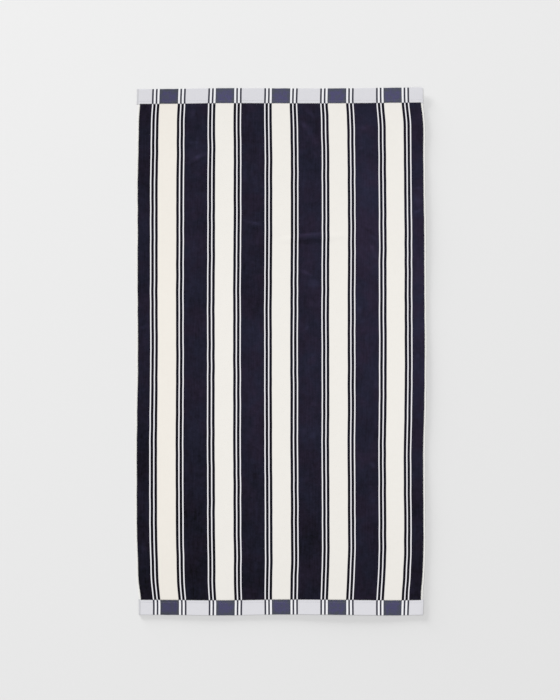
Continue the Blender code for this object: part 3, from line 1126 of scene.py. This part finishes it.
def make_seam(name, side, lengthwise, material):
    """The stitches of one hem's seam, on both faces. Side and lengthwise are as for the tufts."""
    if lengthwise:
        along = evenly(-FIELD_END, FIELD_END, STITCH_PITCH)
        across = np.full(len(along), (RIGHT if side > 0 else LEFT) + side * SIDE_FOLD.seam)
        rise = (TOP_STITCH.height - UNDER_LAYER) * (squeeze(along) - 1)
    else:
        across = evenly(LEFT - SIDE_HEM / 2, RIGHT + SIDE_HEM / 2, STITCH_PITCH)
        along = np.full(len(across), side * (FIELD_END + END_FOLD.seam))
        rise = puckers(across, END_FOLD.seam, side)
    middles, ways, radii = [], [], []
    for stitch, raised in ((TOP_STITCH, rise), (UNDER_STITCH, 0.0)):
        middle = laid(across, along, stitch.height + raised)
        way = np.gradient(middle, axis=0)
        way[:, :2] += stray(STITCH_STRAY, (len(middle), 2))
        middles.append(middle)
        ways.append(way)
        radii.append(np.full(len(middle), stitch.radius))
    middles, ways, radii = (np.concatenate(rows) for rows in (middles, ways, radii))
    piece = new_copies(name, STITCH_STRAND, middles, ways, STITCH_LENGTH / 2, radii)
    finish_mesh(piece, material)
    return piece


# ---------------------------------------------------------------- the room

FLOOR_SIZE = 60.0
FLOOR_GREY = (0.645, 0.645, 0.645, 1.0)
ROOM_WHITE = (1.0, 1.0, 1.0, 1.0)
ROOM_LIGHT = 0.66

# Soft rectangular lights
Light = namedtuple("Light", "name place width height power")
SOFTBOX = Light("softbox", (-12.0, 16.0, 25.0), 13.0, 13.0, 4680)
LOW_LIGHT = Light("low_light", (-14.5, 20.0, 1.5), 11.0, 2.6, 26700)


def make_floor():
    bpy.ops.object.select_all(action="DESELECT")
    bpy.ops.mesh.primitive_plane_add(size=FLOOR_SIZE)
    floor = bpy.context.object
    floor.name = "floor"
    finish = Finish("plain_floor", Base_Color=FLOOR_GREY, Roughness=0.9, Specular_IOR_Level=0.2)
    floor.data.materials.append(finish.material)
    return floor


def add_light(kind):
    """A soft light of one kind, turned to the middle of the towel."""
    lamp = bpy.data.lights.new(kind.name, "AREA")
    lamp.shape = "RECTANGLE"
    lamp.size = kind.width
    lamp.size_y = kind.height
    lamp.energy = kind.power
    light = bpy.data.objects.new(kind.name, lamp)
    light.location = kind.place
    light.rotation_euler = (-Vector(kind.place)).to_track_quat("-Z", "Y").to_euler()
    light.visible_camera = False
    bpy.context.scene.collection.objects.link(light)
    return light


def make_studio(floor):
    """Pale walls all round, a broad soft light from above, and a low one that only the floor takes."""
    world = bpy.data.worlds.new("studio")
    world.use_nodes = True
    world.node_tree.nodes["Background"].inputs["Color"].default_value = ROOM_WHITE
    world.node_tree.nodes["Background"].inputs["Strength"].default_value = ROOM_LIGHT
    bpy.context.scene.world = world
    add_light(SOFTBOX)
    low = add_light(LOW_LIGHT)
    only_floor = bpy.data.collections.new("only_floor")
    only_floor.objects.link(floor)
    low.light_linking.receiver_collection = only_floor
    bpy.context.scene.view_settings.view_transform = "Standard"


LENS = 85.0
SENSOR = 36.0
FAR_CLIP = 100
PICTURE_HEIGHT = 2.320  # how much the picture takes in, at the towel
PICTURE_CENTRE = (-0.0036, 0.0053)  # the flat cloth's place at the picture's centre


def make_camera():
    """Straight above, with the far end at the top."""
    camera = bpy.data.cameras.new("camera")
    camera.lens = LENS
    camera.sensor_width = SENSOR
    camera.clip_end = FAR_CLIP
    eye = bpy.data.objects.new("camera", camera)
    away = PICTURE_HEIGHT * LENS / SENSOR
    eye.location = (PICTURE_CENTRE[0] - MIDDLE[0], PICTURE_CENTRE[1] - MIDDLE[1], PILE_TOP + away)
    bpy.context.scene.collection.objects.link(eye)
    bpy.context.scene.camera = eye


# Each edge of the cloth: its name, its side, and whether it runs lengthwise
EDGES = (("far", 1, False), ("near", -1, False), ("right", 1, True), ("left", -1, True))


def main():
    make_camera()
    floor = make_floor()
    make_studio(floor)
    velour = velour_material()
    looped = looped_material()
    flat = hem_material()
    band = side_hem_material()
    thread = thread_material()

    face = make_layer("velour_face", FACE_PITCH, PILE_LEAN, pile_top, ground_underside, velour)
    back = make_layer("looped_back", BACK_PITCH, 0.0, ground_top, loops_underside, looped)
    hems = [make_end_hem("end_hem_far", 1, flat), make_end_hem("end_hem_near", -1, flat)]
    hems += [make_side_hem("side_hem_right", 1, band), make_side_hem("side_hem_left", -1, band)]
    tufts, seams = [], []
    for place, side, lengthwise in EDGES:
        tufts.append(make_rim_tufts("rim_tufts_" + place, side, lengthwise, velour))
        seams.append(make_seam("seam_" + place, side, lengthwise, thread))
    others = [back, *hems, *tufts, *seams]
    for piece in (face, *others):
        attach(piece, "root")
    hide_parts("towel")


main()
